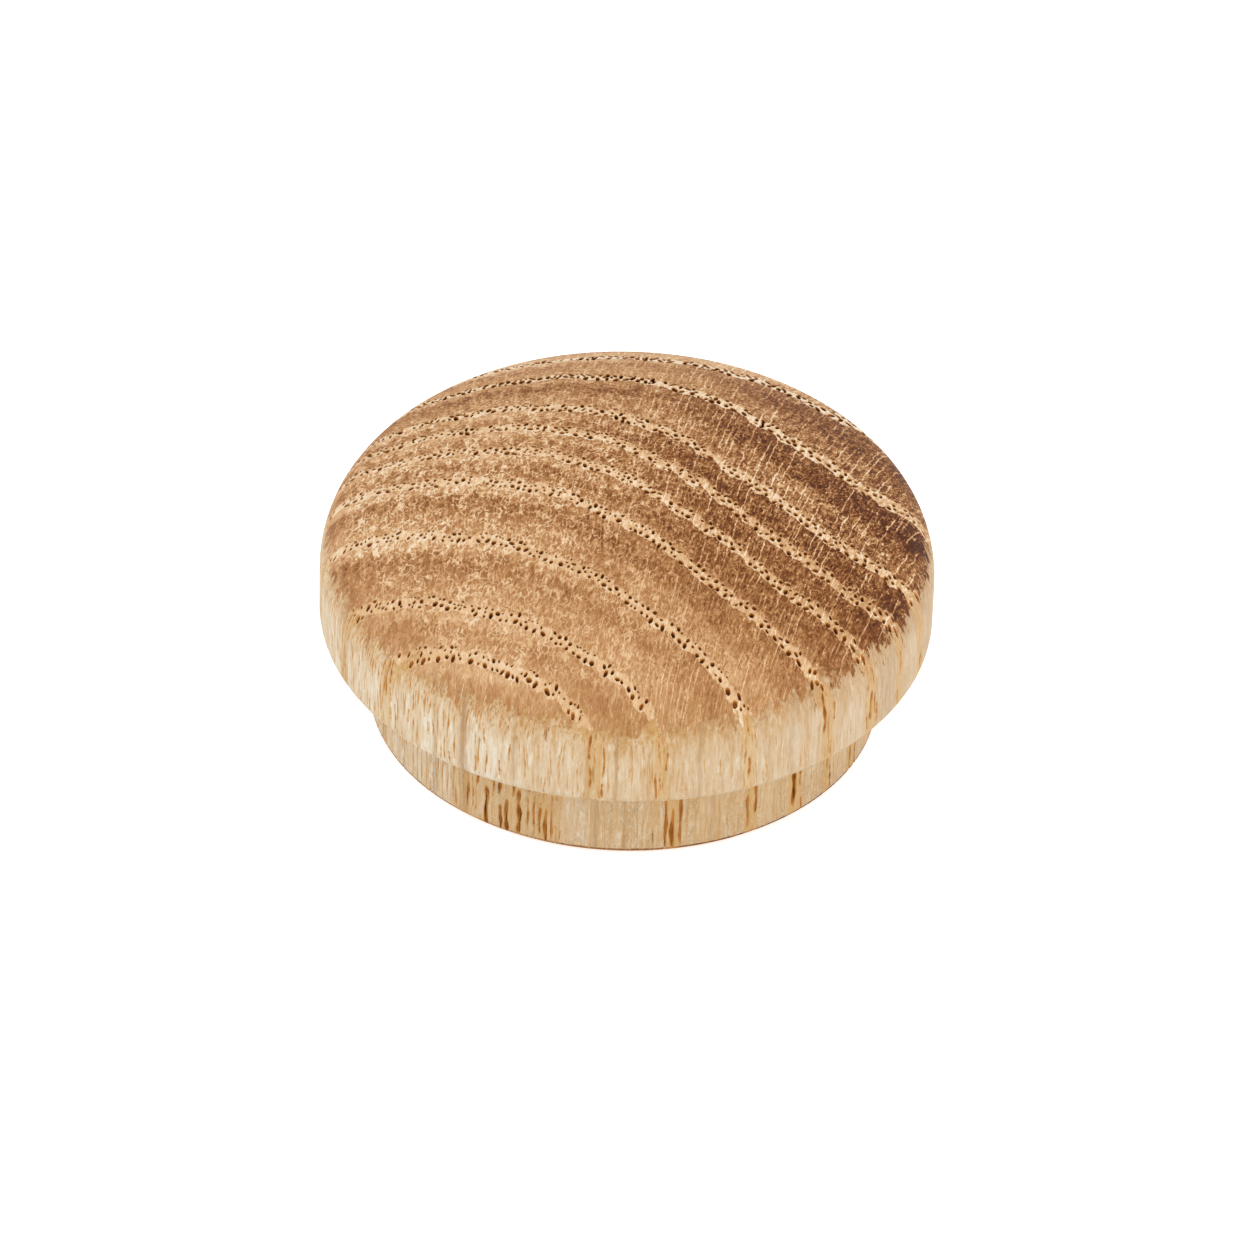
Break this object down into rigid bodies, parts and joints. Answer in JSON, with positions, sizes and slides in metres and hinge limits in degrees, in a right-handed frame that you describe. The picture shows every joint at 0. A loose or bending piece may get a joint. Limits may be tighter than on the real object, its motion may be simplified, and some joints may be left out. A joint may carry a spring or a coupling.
{
  "type": "button plug",
  "caption": "Turned wooden button plug: a domed end-grain head on a short straight shank that presses into a bored hole and hides it.",
  "frame": {"origin": "centre of the shank's flat end, which is the bottom of the part's box", "axes": "+Z along the plug's axis, from the shank's flat end towards the top of the dome; X and Y are free, as the part is turned"},
  "size_m": [0.03, 0.03, 0.0152],
  "materials": {
    "oak": "bare, fine-turned oak, matt, with open pores"
  },
  "bodies": {
    "root": {"plug": "oak"}
  },
  "joints": []
}
